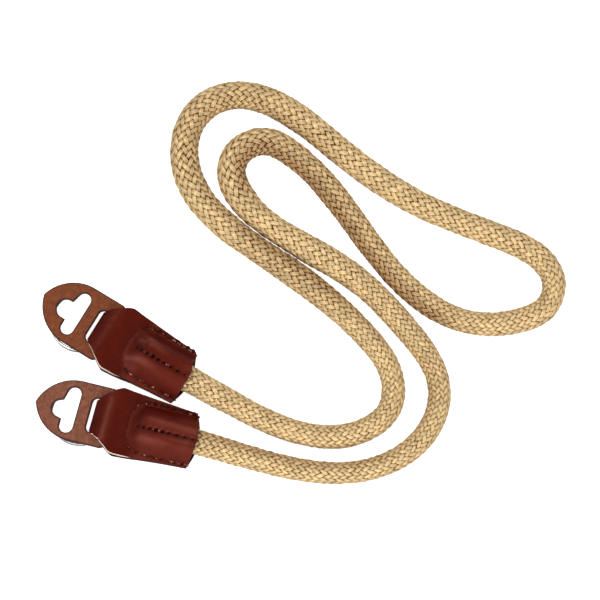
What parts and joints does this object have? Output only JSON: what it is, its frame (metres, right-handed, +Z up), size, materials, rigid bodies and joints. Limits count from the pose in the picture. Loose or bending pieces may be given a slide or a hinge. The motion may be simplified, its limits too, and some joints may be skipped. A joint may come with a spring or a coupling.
{
  "type": "camera neck strap",
  "caption": "Braided rope neck strap for a camera, lying in two nested loops, with a leather end, a split ring and a leather guard tab at each side.",
  "frame": {"origin": "on the surface that the strap lies on, in the middle of the box round the two leather ends with their tabs and rings", "axes": "+X from the leather ends towards the far loops of the rope, +Y from the lower end towards the upper one, +Z up from the surface"},
  "size_m": [0.2212, 0.1731, 0.0133],
  "materials": {
    "rope": "satin braid",
    "sleeve_leather": "smooth, semi-gloss",
    "tab_leather": "matt",
    "ring_steel": "polished"
  },
  "bodies": {
    "root": {"rope": "rope", "leather_sleeve_upper": "sleeve_leather", "leather_sleeve_lower": "sleeve_leather", "guard_tab_upper": "tab_leather", "guard_tab_lower": "tab_leather", "split_ring_upper": "ring_steel", "split_ring_lower": "ring_steel"}
  },
  "joints": []
}
